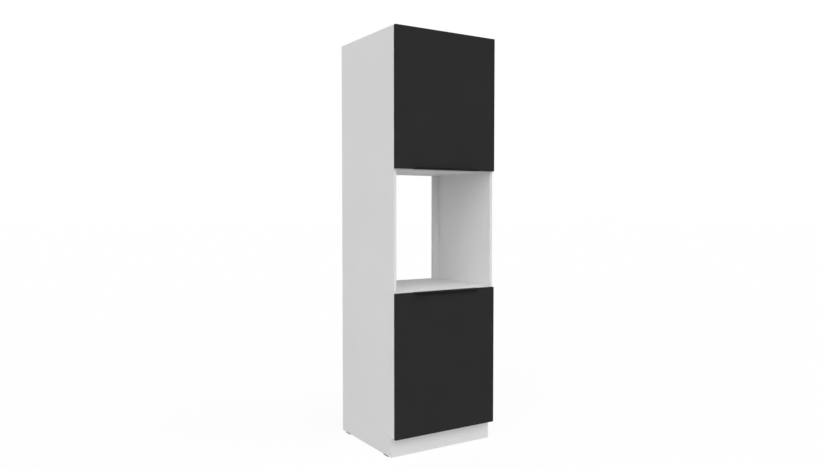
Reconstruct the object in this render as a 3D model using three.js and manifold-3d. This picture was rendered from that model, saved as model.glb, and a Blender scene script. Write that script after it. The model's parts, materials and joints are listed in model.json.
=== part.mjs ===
// A tall kitchen housing for a built-in oven: a white board carcass that stands on
// the floor, an open niche at working height, and a black door above and below it.
// Units are millimetres, +Z is up, the front looks along -Y, and the origin is on the
// floor under the middle of the whole object.

import * as THREE from 'three';
import { mergeVertices } from 'three/addons/utils/BufferGeometryUtils.js';
import Module from 'manifold-3d';

const wasm = await Module();
wasm.setup();

// ---------------------------------------------------------------------------
// Driving dimensions
// ---------------------------------------------------------------------------

// carcass
const cabinetWidth = 600;
const sideDepth = 556;
const board = 15;
const boardArris = 0.5; // the small bevel along every board's edges
const serviceVoid = 60; // free depth behind the fixed panels, for the oven's plug and air
const plinthHeight = 97;
const toeRecess = 29;
const nicheClearHeight = 593;
const nicheRailWidth = 38;

// doors
const lowerDoorHeight = 714;
const upperDoorHeight = 684;
const doorThickness = 15;
const doorArris = 0.3; // the doors' edges are sharper than the boards'
const doorSideInset = 0.5; // each door is this much narrower than the carcass, per side
const doorGap = 1; // air between the carcass and the back of a closed door
const edgeReveal = 6; // panel edge that shows between a door and the niche

// glides under the side panels
const glideHeight = 5;
const glideLength = 50;
const glideWidth = 13;
const glideInset = 57; // middle of a glide from the side panel's front or back edge

// back panels and their grooves
const backThickness = 3;
const grooveDepth = 6;
const grooveClearance = 0.3;

// loose shelves and the pegs that carry them
const shelfSideGap = 1;
const shelfFrontSetback = 12;
const shelfBackGap = 6;
const pegHoleRadius = 2.5;
const pegHoleDepth = 9;
const pegRowFront = 60; // rows of peg holes, from the side panel's front edge
const pegRowBack = 430;
const pegPitch = 32;
const pegHolesPerRow = 5;
const pegStemLength = 8;
const pegClearance = 0.3;
const pegNoseRadius = 3.8;
const pegNoseLength = 9;
const pegTipArris = 0.6;

// edge pulls on the doors, bent from sheet
const pullLength = 380;
const pullSheet = 1.5;
const pullProjection = 14;
const pullLipRadius = 8;
const pullLegHeight = 20;
const pullClearance = 0.3;

// concealed hinges: the four pivots of the linkage. "Across" is measured from the
// door's hinge edge, "back" from the carcass front and "sunk" from the door's back.
const hingeFromDoorEnd = 100;
const longPivotAcross = 45.5;
const longPivotBack = 17.66;
const shortPivotAcross = 35.26;
const shortPivotBack = 6.11;
const longPinAcross = 11.86;
const longPinSunk = 2.2;
const shortPinAcross = 12.11;
const shortPinSunk = 3.58;

// hinge pins, levers and forks
const pinRadius = 1;
const pinClearance = 0.15;
const loosePinClearance = 0.3; // the short lever's cup pin closes the loop, so it runs loose
const leverHalfWidth = 1.9;
const longLeverBow = 7; // how far aside a lever's curve is pulled
const shortLeverBow = 8.8;
const leverBowPlace = 0.62; // where along a lever the pull is
const leverClearance = 0.3; // free space between neighbours along a pin
const shortLeverHeight = 6;
const forkWall = 1.1;
const longCheek = 1.5;
const cheekBarAcross = 2; // the bar that joins the long lever's cheeks, behind its pivot
const cheekBarBack = 4;
const cheekBarRadius = 1.1;

// hinge cup
const cupRadius = 17.5;
const cupDepth = 11.5;
const cupWall = 1.2;
const cupFloor = 1;
const cupRim = 3; // wood left between the cup and the door's edge
const cupClearance = 0.3;
const cupForkRadius = 1.7;
const cupForkLean = 2;
const flangeThickness = 0.8;
const flangeRadius = 19;
const flangeEarOut = 22.5;
const flangeEarIn = 9.5;
const flangeEarRadius = 6;
const flangeScrewRadius = 2.2;

// hinge arm
const armSheet = 1.5;
const armClearance = 1.1; // beside the long lever's cheeks
const armWebClearance = 0.7; // between the long lever and the arm's web
const armLength = 46;
const armNoseRadius = 2.2;
const armFrontLip = 1; // the arm's cheeks in front of the long lever's eye
const armStraight = 10; // the part of the web that runs straight before it slopes
const armSlopeDrop = 14;
const armCheekNose = 5;
const armCheekRise = 14;
const armArris = 0.5;
const armScrewRadius = 2.4;
const armScrewHead = 3.8;
const armScrewProud = 0.5;
const armScrewSlot = 1;
const armScrewSlotDepth = 0.7;
const armScrewPlaces = [5, 24]; // along the plate's ridge

// hinge mounting plate
const plateThickness = 2.5;
const plateArris = 0.4;
const plateRidgeSetback = 8; // the ridge starts this far behind the long lever's pivot
const plateRidgeHeight = 9;
const plateRidgeLength = 36;
const plateRidgeClearance = 0.5;
const plateLip = 5; // how far the plate shows in front of and behind its ridge
const plateWingOut = 16;
const plateWingRadius = 8.5;
const plateScrewBack = 37;
const plateScrewRadius = 2.6;

// how finely round things are drawn: sides of a full circle
const CUP_SIDES = 22;
const TURNED_SIDES = 12;
const PIN_SIDES = 8;
const LEVER_STEPS = 4; // straight pieces along a lever's bow

// finishes
const WHITE_BOARD = { color: 0xdcdcdc, roughness: 0.55, metalness: 0 };
const BLACK_BOARD = { color: 0x2e2e2e, roughness: 0.6, metalness: 0 };
const BLACK_METAL = { color: 0x1c1c1c, roughness: 0.4, metalness: 0.6 };
const BACK_BOARD = { color: 0xe2e2e0, roughness: 0.7, metalness: 0 };
const BLACK_PLASTIC = { color: 0x161616, roughness: 0.5, metalness: 0 };
const NICKEL = { color: 0xb9bbbd, roughness: 0.3, metalness: 0.9 };

// ---------------------------------------------------------------------------
// Planes and heights that follow from the driving dimensions
// ---------------------------------------------------------------------------

const LEFT = -1;
const RIGHT = 1;

const frontReach = doorGap + doorThickness + pullProjection;
const frontY = frontReach - (sideDepth + frontReach) / 2; // the carcass front plane
const panelDepth = sideDepth - serviceVoid;
const innerX = cabinetWidth / 2 - board;
const clearWidth = 2 * innerX;

const sideBottomZ = glideHeight;
const bottomPanelZ = sideBottomZ + plinthHeight;
const lowerDoorZ = bottomPanelZ;
const nicheFloorTopZ = lowerDoorZ + lowerDoorHeight + edgeReveal;
const nicheFloorZ = nicheFloorTopZ - board;
const nicheCeilingZ = nicheFloorTopZ + nicheClearHeight;
const upperDoorZ = nicheCeilingZ + edgeReveal;
const topZ = upperDoorZ + upperDoorHeight;
const topPanelZ = topZ - board;
const sideHeight = topZ - sideBottomZ;

const doorBackY = frontY - doorGap;
const doorWidth = cabinetWidth - 2 * doorSideInset;
const doorEdgeX = doorWidth / 2;

const compartments = {
  upper: { floorZ: nicheCeilingZ + board, ceilingZ: topPanelZ },
  lower: { floorZ: bottomPanelZ + board, ceilingZ: nicheFloorZ },
};
for (const compartment of Object.values(compartments)) {
  compartment.pegZ = (compartment.floorZ + compartment.ceilingZ) / 2;
  compartment.shelfZ = compartment.pegZ + pegNoseRadius;
}

// ---------------------------------------------------------------------------
// Outlines
// ---------------------------------------------------------------------------

function outline(points) {
  return new THREE.Shape(points.map(([x, y]) => new THREE.Vector2(x, y)));
}

function rectangle(x0, y0, x1, y1) {
  return outline([[x0, y0], [x1, y0], [x1, y1], [x0, y1]]);
}

// a slot-shaped outline round two points
function capsule([ax, ay], [bx, by], radius) {
  const along = Math.atan2(by - ay, bx - ax);
  const quarter = Math.PI / 2;
  const shape = new THREE.Shape();
  shape.absarc(ax, ay, radius, along + quarter, along + 3 * quarter, false);
  shape.absarc(bx, by, radius, along - quarter, along + quarter, false);
  return shape;
}

function hole([x, y], radius) {
  const path = new THREE.Path();
  path.absarc(x, y, radius, 0, 2 * Math.PI, true);
  return path;
}

// ---------------------------------------------------------------------------
// Solids
// ---------------------------------------------------------------------------

// an outline in the XY plane, raised from zLow to zHigh
function prism(shape, zLow, zHigh, curveSegments = 4) {
  const options = { depth: zHigh - zLow, bevelEnabled: false, curveSegments };
  return new THREE.ExtrudeGeometry(shape, options).translate(0, 0, zLow);
}

// the same with a small bevel round both faces, inside the outline
function bevelledPrism(shape, zLow, zHigh, bevel, curveSegments = 4) {
  const options = {
    depth: zHigh - zLow - 2 * bevel,
    bevelEnabled: true,
    bevelSize: bevel,
    bevelOffset: -bevel,
    bevelThickness: bevel,
    bevelSegments: 1,
    curveSegments,
  };
  return new THREE.ExtrudeGeometry(shape, options).translate(0, 0, zLow + bevel);
}

// turns a prism whose outline was drawn in Y and Z, so that its height runs along X
function alongX(geometry) {
  return geometry.rotateY(Math.PI / 2).rotateX(Math.PI / 2);
}

// turns a prism whose outline was drawn in X and Z, so that its height runs along -Y
function alongY(geometry) {
  return geometry.rotateX(Math.PI / 2);
}

// a plain block between two corners, given in any order
function block(a, b) {
  const size = a.map((value, axis) => Math.abs(b[axis] - value));
  const middle = a.map((value, axis) => (b[axis] + value) / 2);
  return new THREE.BoxGeometry(...size).translate(...middle);
}

// a round bar along one axis; "at" is its place on the other two, in X, Y, Z order
function bar(axis, at, from, to, radius, sides) {
  const geometry = new THREE.CylinderGeometry(radius, radius, Math.abs(to - from), sides);
  const middle = (from + to) / 2;
  if (axis === 'x') {
    return geometry.rotateZ(Math.PI / 2).translate(middle, at[0], at[1]);
  }
  if (axis === 'y') {
    return geometry.translate(at[0], middle, at[1]);
  }
  return geometry.rotateX(Math.PI / 2).translate(at[0], at[1], middle);
}

function solid(geometry) {
  const bare = geometry.clone();
  bare.deleteAttribute('normal');
  bare.deleteAttribute('uv');
  const merged = mergeVertices(bare, 1e-5);
  const vertProperties = new Float32Array(merged.attributes.position.array);
  const triVerts = new Uint32Array(merged.index.array);
  return new wasm.Manifold(new wasm.Mesh({ numProp: 3, vertProperties, triVerts }));
}

// joins some geometries, cuts others away and gives the result as one geometry
function joinAndCut(bodies, tools = []) {
  const whole = bodies.map(solid).reduce((sum, piece) => sum.add(piece));
  const rest = tools.map(solid).reduce((left, tool) => left.subtract(tool), whole);
  const mesh = rest.getMesh();
  const geometry = new THREE.BufferGeometry();
  geometry.setAttribute('position', new THREE.BufferAttribute(mesh.vertProperties, 3));
  geometry.setIndex(new THREE.BufferAttribute(mesh.triVerts, 1));
  return geometry;
}

// ---------------------------------------------------------------------------
// The scene graph
// ---------------------------------------------------------------------------

const ovenHousing = new THREE.Group();

function groupAt(parent, x, y, z) {
  const group = new THREE.Group();
  group.position.set(x, y, z);
  parent.add(group);
  return group;
}

function place(parent, name, geometry, finish, x = 0, y = 0, z = 0) {
  const mesh = new THREE.Mesh(geometry, new THREE.MeshStandardMaterial(finish));
  mesh.name = name;
  mesh.position.set(x, y, z);
  parent.add(mesh);
  return mesh;
}

// ---------------------------------------------------------------------------
// Carcass. Its group's origin is on the front plane, in the middle of the width,
// at floor level.
// ---------------------------------------------------------------------------

const carcass = groupAt(ovenHousing, 0, frontY, 0);

// a board that lies flat: centred on X, its front edge at 0 and its underside at 0
function flatBoard(width, depth) {
  return bevelledPrism(rectangle(-width / 2, 0, width / 2, depth), 0, board, boardArris);
}

// a board that faces the front: centred on X, its front face at 0 and its foot at 0
function uprightBoard(width, height) {
  const shape = rectangle(-width / 2, 0, width / 2, height);
  return alongY(bevelledPrism(shape, -board, 0, boardArris));
}

// the side panel as seen from the side, with the toe notch and with the points on
// its front edge where the niche starts and ends
function sideOutline() {
  const notchTop = bottomPanelZ - sideBottomZ;
  return outline([
    [toeRecess, 0],
    [sideDepth, 0],
    [sideDepth, sideHeight],
    [0, sideHeight],
    [0, nicheCeilingZ - sideBottomZ],
    [0, nicheFloorTopZ - sideBottomZ],
    [0, notchTop],
    [toeRecess, notchTop],
  ]);
}

// heights of the peg holes, with the shelf's own pegs in the middle ones
function pegHeights(compartment) {
  const middle = (pegHolesPerRow - 1) / 2;
  return Array.from({ length: pegHolesPerRow }, (_, i) => (
    compartment.pegZ + (i - middle) * pegPitch
  ));
}

// a side panel with its inner face at X = 0: the groove for the back panels stops
// below the bottom panel, and blind holes take the pegs
function sidePanel(side) {
  const slab = alongX(bevelledPrism(sideOutline(), 0, board, boardArris));
  if (side === LEFT) {
    slab.translate(-board, 0, 0);
  }
  const air = -side * board;
  const grooveFootZ = bottomPanelZ - sideBottomZ;
  const grooveBack = panelDepth + backThickness + grooveClearance;
  const groove = block(
    [air, panelDepth, grooveFootZ],
    [side * grooveDepth, grooveBack, sideHeight + board],
  );
  const tools = [groove];
  for (const compartment of Object.values(compartments)) {
    for (const height of pegHeights(compartment)) {
      const z = height - sideBottomZ;
      for (const y of [pegRowFront, pegRowBack]) {
        tools.push(bar('x', [y, z], air, side * pegHoleDepth, pegHoleRadius, PIN_SIDES));
      }
    }
  }
  return joinAndCut([slab], tools);
}

place(carcass, 'side_panel_left', sidePanel(LEFT), WHITE_BOARD, -innerX, 0, sideBottomZ);
place(carcass, 'side_panel_right', sidePanel(RIGHT), WHITE_BOARD, innerX, 0, sideBottomZ);

// the niche's floor has points on its edge where the two rear rails stand on it
function nicheFloor() {
  const x = innerX;
  const railX = innerX - nicheRailWidth;
  const railY = panelDepth - board;
  const shape = outline([
    [-x, 0],
    [x, 0],
    [x, railY],
    [x, panelDepth],
    [railX, panelDepth],
    [-railX, panelDepth],
    [-x, panelDepth],
    [-x, railY],
  ]);
  return bevelledPrism(shape, 0, board, boardArris);
}

const fixedPanel = () => flatBoard(clearWidth, panelDepth);
place(carcass, 'bottom_panel', fixedPanel(), WHITE_BOARD, 0, 0, bottomPanelZ);
place(carcass, 'niche_floor', nicheFloor(), WHITE_BOARD, 0, 0, nicheFloorZ);
place(carcass, 'niche_ceiling', fixedPanel(), WHITE_BOARD, 0, 0, nicheCeilingZ);
place(carcass, 'top_panel', fixedPanel(), WHITE_BOARD, 0, 0, topPanelZ);

const plinth = uprightBoard(clearWidth, plinthHeight);
place(carcass, 'plinth_board', plinth, WHITE_BOARD, 0, toeRecess, sideBottomZ);

// upright rails tie the niche's floor and ceiling together at the back
for (const [name, side] of [['left', LEFT], ['right', RIGHT]]) {
  const rail = uprightBoard(nicheRailWidth, nicheClearHeight);
  const x = side * (innerX - nicheRailWidth / 2);
  const y = panelDepth - board;
  place(carcass, `niche_rail_${name}`, rail, WHITE_BOARD, x, y, nicheFloorTopZ);
}

// thin back panels stand in the grooves, behind the fixed panels
function backPanel(height) {
  const reach = innerX + grooveDepth - grooveClearance;
  return block([-reach, 0, 0], [reach, backThickness, height]);
}

const upperBack = backPanel(topZ - nicheCeilingZ);
const lowerBackZ = bottomPanelZ + grooveClearance;
const lowerBack = backPanel(nicheFloorTopZ - lowerBackZ);
place(carcass, 'upper_back_panel', upperBack, BACK_BOARD, 0, panelDepth, nicheCeilingZ);
place(carcass, 'lower_back_panel', lowerBack, BACK_BOARD, 0, panelDepth, lowerBackZ);

// glides with round ends, nailed under the side panels
function glide() {
  const reach = (glideLength - glideWidth) / 2;
  const shape = capsule([0, -reach], [0, reach], glideWidth / 2);
  return bevelledPrism(shape, 0, glideHeight, boardArris);
}

const glideX = innerX + board / 2;
const glideRows = { front: toeRecess + glideInset, rear: sideDepth - glideInset };
for (const [row, y] of Object.entries(glideRows)) {
  place(carcass, `glide_${row}_left`, glide(), BLACK_PLASTIC, -glideX, y, 0);
  place(carcass, `glide_${row}_right`, glide(), BLACK_PLASTIC, glideX, y, 0);
}

// ---------------------------------------------------------------------------
// Loose shelves, each on four pegs
// ---------------------------------------------------------------------------

// a peg along X: its stem sits in the panel and its thicker nose carries the shelf
function shelfPeg(side) {
  const stemRadius = pegHoleRadius - pegClearance;
  const profile = [
    [0, -pegStemLength],
    [stemRadius - pegTipArris, -pegStemLength],
    [stemRadius, -pegStemLength + pegTipArris],
    [stemRadius, 0],
    [pegNoseRadius, 0],
    [pegNoseRadius, pegNoseLength - pegTipArris],
    [pegNoseRadius - pegTipArris, pegNoseLength],
    [0, pegNoseLength],
  ].map(([r, h]) => new THREE.Vector2(r, h));
  const turned = new THREE.LatheGeometry(profile, TURNED_SIDES).rotateZ(side * Math.PI / 2);
  return joinAndCut([turned]);
}

for (const [name, compartment] of Object.entries(compartments)) {
  const depth = panelDepth - shelfFrontSetback - shelfBackGap;
  const shelf = flatBoard(clearWidth - 2 * shelfSideGap, depth);
  const { shelfZ, pegZ } = compartment;
  place(carcass, `${name}_shelf`, shelf, WHITE_BOARD, 0, shelfFrontSetback, shelfZ);
  for (const [row, y] of [['front', pegRowFront], ['rear', pegRowBack]]) {
    place(carcass, `${name}_peg_${row}_left`, shelfPeg(LEFT), NICKEL, -innerX, y, pegZ);
    place(carcass, `${name}_peg_${row}_right`, shelfPeg(RIGHT), NICKEL, innerX, y, pegZ);
  }
}

// ---------------------------------------------------------------------------
// Doors. A door's own origin is in the middle of its lower edge, on its back face.
// ---------------------------------------------------------------------------

const AT_TOP = 1;
const AT_BOTTOM = -1;
const cupX = doorEdgeX - cupRim - cupRadius;

// the back has a bore for each hinge cup and a shallow pocket for the pull's leg
function door(height, pullEnd) {
  const face = rectangle(-doorEdgeX, 0, doorEdgeX, height);
  const slab = alongY(bevelledPrism(face, 0, doorThickness, doorArris));
  const tools = [];
  for (const z of [hingeFromDoorEnd, height - hingeFromDoorEnd]) {
    const floorY = -cupDepth - cupClearance;
    tools.push(bar('y', [cupX, z], floorY, board, cupRadius + cupClearance, CUP_SIDES));
  }
  const half = pullLength / 2 + pullClearance;
  const edgeZ = pullEnd === AT_TOP ? height : 0;
  tools.push(block(
    [-half, -pullSheet - pullClearance, edgeZ - pullEnd * (pullLegHeight + pullClearance)],
    [half, board, edgeZ + pullEnd * board],
  ));
  return joinAndCut([slab], tools);
}

// the bent sheet in section: a leg let into the door's back, a plate over its edge and
// a rounded lip in front; the door's edge is at height 0 and its back face at 0
function edgePull() {
  const tipY = -doorThickness - pullProjection;
  const bendY = tipY + pullLipRadius;
  const bendZ = pullSheet - pullLipRadius;
  const shape = new THREE.Shape();
  shape.moveTo(0, -pullLegHeight);
  shape.lineTo(0, pullSheet);
  shape.lineTo(bendY, pullSheet);
  shape.absarc(bendY, bendZ, pullLipRadius, Math.PI / 2, Math.PI, false);
  shape.lineTo(tipY + pullSheet, bendZ);
  shape.absarc(bendY, bendZ, pullLipRadius - pullSheet, Math.PI, Math.PI / 2, true);
  shape.lineTo(-pullSheet, 0);
  shape.lineTo(-pullSheet, -pullLegHeight);
  return alongX(prism(shape, -pullLength / 2, pullLength / 2));
}

const doors = {
  upper: { z: upperDoorZ, height: upperDoorHeight, pullEnd: AT_BOTTOM },
  lower: { z: lowerDoorZ, height: lowerDoorHeight, pullEnd: AT_TOP },
};
for (const [name, { z, height, pullEnd }] of Object.entries(doors)) {
  const leaf = groupAt(ovenHousing, 0, doorBackY, z);
  place(leaf, `${name}_door`, door(height, pullEnd), BLACK_BOARD);
  const edgeZ = pullEnd === AT_TOP ? height : 0;
  const pull = place(leaf, `${name}_door_pull`, edgePull(), BLACK_METAL, 0, 0, edgeZ);
  if (pullEnd === AT_BOTTOM) {
    // the same pull turned over, for a door's lower edge
    pull.rotation.y = Math.PI;
  }
}

// ---------------------------------------------------------------------------
// Concealed hinges: a four-bar linkage of arm, cup, long lever and short lever. A
// hinge's own origin is on the door's hinge edge, on the carcass front plane, at the
// hinge's middle height. The outlines are plans, raised evenly above and below it.
// ---------------------------------------------------------------------------

const doorBack = -doorGap;
const sideFaceX = innerX - doorEdgeX;
const longPivot = [-longPivotAcross, longPivotBack];
const shortPivot = [-shortPivotAcross, shortPivotBack];
const longPin = [-longPinAcross, doorBack - longPinSunk];
const shortPin = [-shortPinAcross, doorBack - shortPinSunk];

// layers along the pins, outwards from the middle: short lever, forks, long lever, arm
const shortLeverTop = shortLeverHeight / 2;
const forkInside = shortLeverTop + leverClearance;
const forkOutside = forkInside + forkWall;
const cheekInside = forkOutside + leverClearance;
const cheekOutside = cheekInside + longCheek;
const armInside = cheekOutside + armClearance;
const armOutside = armInside + armSheet;

const ridgeStartY = longPivotBack + plateRidgeSetback;
const ridgeTopX = sideFaceX - plateThickness - plateRidgeHeight;

// one plate above the middle and its mirror image below
function pairOfPlates(shape, inside, outside) {
  return [prism(shape, inside, outside), prism(shape, -outside, -inside)];
}

// the outline of a lever that bows to one side, with a round eye at each end
function leverOutline(from, to, bow) {
  const start = new THREE.Vector2(...from);
  const end = new THREE.Vector2(...to);
  const along = end.clone().sub(start).normalize();
  const aside = new THREE.Vector2(along.y, -along.x);
  const pull = start.clone().lerp(end, leverBowPlace).addScaledVector(aside, bow);
  const middle = new THREE.QuadraticBezierCurve(start, pull, end);
  const quarter = Math.PI / 2;
  const heading = (t) => middle.getTangent(t).angle();
  const beside = (t, side) => {
    const across = heading(t) + side * quarter;
    const offset = new THREE.Vector2(Math.cos(across), Math.sin(across));
    return middle.getPoint(t).addScaledVector(offset, leverHalfWidth);
  };
  const shape = new THREE.Shape();
  const startAt = heading(0) + quarter;
  shape.absarc(start.x, start.y, leverHalfWidth, startAt, startAt + Math.PI, false);
  for (let i = 1; i < LEVER_STEPS; i++) {
    const point = beside(i / LEVER_STEPS, -1);
    shape.lineTo(point.x, point.y);
  }
  const endAt = heading(1) - quarter;
  shape.absarc(end.x, end.y, leverHalfWidth, endAt, endAt + Math.PI, false);
  for (let i = LEVER_STEPS - 1; i > 0; i--) {
    const point = beside(i / LEVER_STEPS, 1);
    shape.lineTo(point.x, point.y);
  }
  return shape;
}

function shortLever() {
  const shape = leverOutline(shortPivot, shortPin, shortLeverBow);
  shape.holes.push(hole(shortPivot, pinRadius + pinClearance));
  shape.holes.push(hole(shortPin, pinRadius + loosePinClearance));
  return prism(shape, -shortLeverTop, shortLeverTop);
}

// the long lever's two cheeks, joined behind its pivot by a cross bar
function longLever() {
  const barAt = [longPivot[0] + cheekBarAcross, longPivot[1] + cheekBarBack];
  const shape = leverOutline(longPivot, longPin, longLeverBow);
  const tail = capsule(longPivot, barAt, cheekBarRadius);
  const bodies = [
    ...pairOfPlates(shape, cheekInside, cheekOutside),
    ...pairOfPlates(tail, cheekInside, cheekOutside),
    bar('z', barAt, -cheekOutside, cheekOutside, cheekBarRadius, PIN_SIDES),
  ];
  const boreRadius = pinRadius + pinClearance;
  const bores = [longPivot, longPin].map((at) => (
    bar('z', at, -armOutside, armOutside, boreRadius, PIN_SIDES)
  ));
  return joinAndCut(bodies, bores);
}

// the cup: a round pot with a flange that lies on the door's back, two stub pins for
// the long lever and a small fork with a pin for the short one
function hingeCup() {
  const middleX = -cupRim - cupRadius;
  const mouthY = doorBack + flangeThickness;
  const floorY = doorBack - cupDepth;
  const innerRadius = cupRadius - cupWall;
  const earX = middleX - flangeEarIn;
  const ears = capsule([earX, -flangeEarOut], [earX, flangeEarOut], flangeEarRadius);
  const earPlate = alongY(prism(ears, -mouthY, -doorBack));
  const offMiddle = longPin[0] - middleX;
  const stubEnd = Math.sqrt(innerRadius ** 2 - offMiddle ** 2) + cupWall / 2;
  const forkFoot = [shortPin[0] - cupForkLean, floorY + cupFloor];
  const fork = capsule(shortPin, forkFoot, cupForkRadius);
  const pot = [
    bar('y', [middleX, 0], floorY, mouthY, cupRadius, CUP_SIDES),
    bar('y', [middleX, 0], doorBack, mouthY, flangeRadius, CUP_SIDES),
    earPlate,
  ];
  const edgeCut = block(
    [-cupRim / 2, floorY, -cupRadius],
    [cupRadius, mouthY + board, cupRadius],
  );
  const screwHoles = [-flangeEarOut, flangeEarOut].map((z) => (
    bar('y', [earX, z], floorY, mouthY + board, flangeScrewRadius, PIN_SIDES)
  ));
  const cavity = bar('y', [middleX, 0], floorY + cupFloor, mouthY + board, innerRadius, CUP_SIDES);
  const shell = joinAndCut(pot, [cavity, edgeCut, ...screwHoles]);
  const below = block([-cupRadius * 2, floorY - board, -cupRadius], [0, floorY, cupRadius]);
  const prongs = joinAndCut(pairOfPlates(fork, forkInside, forkOutside), [below]);
  return joinAndCut([
    shell,
    prongs,
    bar('z', longPin, cheekInside, stubEnd, pinRadius, PIN_SIDES),
    bar('z', longPin, -stubEnd, -cheekInside, pinRadius, PIN_SIDES),
    bar('z', shortPin, -forkOutside, forkOutside, pinRadius, PIN_SIDES),
  ]);
}

// the arm: a tapering channel over the plate, with a forked nose in front and two
// adjusting screws that stand on the plate's ridge and show their heads outside
function hingeArm() {
  const webInX = longPivot[0] - leverHalfWidth - armWebClearance;
  const webOutX = webInX - armSheet;
  const frontEndY = longPivot[1] - leverHalfWidth - armFrontLip;
  const slopeStartY = frontEndY + armStraight;
  const tailY = frontEndY + armLength;
  const footX = sideFaceX - plateThickness - plateRidgeClearance;
  const plan = outline([
    [webOutX, frontEndY],
    [longPivot[0] + armCheekNose, frontEndY],
    [footX, frontEndY + armCheekRise],
    [footX, tailY],
    [webOutX + armSlopeDrop, tailY],
    [webOutX, slopeStartY],
  ]);
  const hollow = outline([
    [webInX, frontEndY - board],
    [board, frontEndY - board],
    [board, tailY + board],
    [webInX + armSlopeDrop, tailY + board],
    [webInX + armSlopeDrop, tailY],
    [webInX, slopeStartY],
  ]);
  const channel = joinAndCut(
    [bevelledPrism(plan, -armOutside, armOutside, armArris)],
    [prism(hollow, -armInside, armInside)],
  );
  const webMiddle = [webInX - armSheet / 2, longPivot[1]];
  const bodies = [
    channel,
    ...pairOfPlates(capsule(webMiddle, longPivot, armNoseRadius), forkInside, forkOutside),
    ...pairOfPlates(capsule(longPivot, shortPivot, armNoseRadius), forkInside, forkOutside),
    bar('z', longPivot, -armOutside, armOutside, pinRadius, PIN_SIDES),
    bar('z', shortPivot, -forkOutside, forkOutside, pinRadius, PIN_SIDES),
  ];
  const slots = [];
  for (const along of armScrewPlaces) {
    const y = ridgeStartY + along;
    const slope = armSlopeDrop / (tailY - slopeStartY);
    const webX = webOutX + slope * (y - slopeStartY - armScrewHead);
    const headX = webX - armScrewProud;
    const slotX = headX + armScrewSlotDepth;
    bodies.push(bar('x', [y, 0], headX, headX + armSheet, armScrewHead, TURNED_SIDES));
    bodies.push(bar('x', [y, 0], headX, ridgeTopX, armScrewRadius, PIN_SIDES));
    const half = armScrewSlot / 2;
    const outside = headX - armSheet;
    slots.push(block([outside, y - half, -armScrewRadius], [slotX, y + half, armScrewRadius]));
    slots.push(block([outside, y - armScrewRadius, -half], [slotX, y + armScrewRadius, half]));
  }
  return joinAndCut(bodies, slots);
}

// the plate: screwed to the side panel by its two wings, with the ridge that the arm
// is clamped to
function hingePlate() {
  const footX = sideFaceX - plateThickness;
  const wings = capsule(
    [plateScrewBack, -plateWingOut],
    [plateScrewBack, plateWingOut],
    plateWingRadius,
  );
  const ridgeHalf = armInside - plateRidgeClearance;
  const ridgeEndY = ridgeStartY + plateRidgeLength;
  const strip = rectangle(ridgeStartY - plateLip, -ridgeHalf, ridgeEndY + plateLip, ridgeHalf);
  const ridge = rectangle(ridgeStartY, -ridgeHalf, ridgeEndY, ridgeHalf);
  const bodies = [
    alongX(bevelledPrism(wings, footX, sideFaceX, plateArris)),
    alongX(bevelledPrism(strip, footX, sideFaceX, plateArris)),
    alongX(bevelledPrism(ridge, ridgeTopX, sideFaceX - plateArris, plateArris)),
  ];
  const screwHoles = [-plateWingOut, plateWingOut].map((z) => (
    bar('x', [plateScrewBack, z], footX - board, sideFaceX + board, plateScrewRadius, PIN_SIDES)
  ));
  return joinAndCut(bodies, screwHoles);
}

const hingePieces = {
  cup: hingeCup(),
  arm: hingeArm(),
  plate: hingePlate(),
  long_lever: longLever(),
  short_lever: shortLever(),
};
for (const [name, { z, height }] of Object.entries(doors)) {
  const ends = { top: z + height - hingeFromDoorEnd, bottom: z + hingeFromDoorEnd };
  for (const [end, hingeZ] of Object.entries(ends)) {
    const hinge = groupAt(ovenHousing, doorEdgeX, frontY, hingeZ);
    for (const [piece, geometry] of Object.entries(hingePieces)) {
      place(hinge, `${name}_${end}_hinge_${piece}`, geometry, NICKEL);
    }
  }
}

export default ovenHousing;
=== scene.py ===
# %% [markdown]
# # A tall kitchen housing for a built-in oven
# The real object is a tall white cupboard body. A black door closes its top, another
# closes its foot, and an open niche between them takes the oven. Its boards, hinges and
# pulls arrive here as a fixed frame of exact solids. This file gives every one of them
# its finish, adds the small turned, bent and pressed pieces that a plain solid can't
# show well, and sets up the picture. Each step first says what it makes and why.

# %% Load the frame
import json
import math

import bmesh
import bpy
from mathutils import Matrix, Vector


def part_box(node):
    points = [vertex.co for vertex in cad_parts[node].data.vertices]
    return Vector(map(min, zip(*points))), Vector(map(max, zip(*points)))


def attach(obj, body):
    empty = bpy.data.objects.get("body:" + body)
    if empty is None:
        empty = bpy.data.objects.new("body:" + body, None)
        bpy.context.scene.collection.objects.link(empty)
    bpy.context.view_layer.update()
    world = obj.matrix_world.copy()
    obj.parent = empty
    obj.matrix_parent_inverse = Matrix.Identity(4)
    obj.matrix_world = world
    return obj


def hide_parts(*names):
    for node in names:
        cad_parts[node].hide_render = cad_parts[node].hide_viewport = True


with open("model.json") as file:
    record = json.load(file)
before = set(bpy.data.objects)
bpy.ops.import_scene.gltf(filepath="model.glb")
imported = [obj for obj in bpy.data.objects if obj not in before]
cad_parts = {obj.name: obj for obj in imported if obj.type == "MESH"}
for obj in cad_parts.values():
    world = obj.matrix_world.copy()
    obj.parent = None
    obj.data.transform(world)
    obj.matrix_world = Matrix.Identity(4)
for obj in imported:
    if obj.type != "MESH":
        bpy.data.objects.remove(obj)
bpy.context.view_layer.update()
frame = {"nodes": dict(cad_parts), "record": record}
print("nodes in the frame:", len(frame["nodes"]))

# %% [markdown]
# ## Where things are
# A maker works from a few reference planes: the front edge of the carcass, the faces of
# the side panels and the back of the doors. They are read from the frame's own nodes,
# so nothing here has to be measured twice.

# %% Reference planes
MM = 0.001


def low_corner(name):
    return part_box(name)[0]


def high_corner(name):
    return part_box(name)[1]


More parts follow.
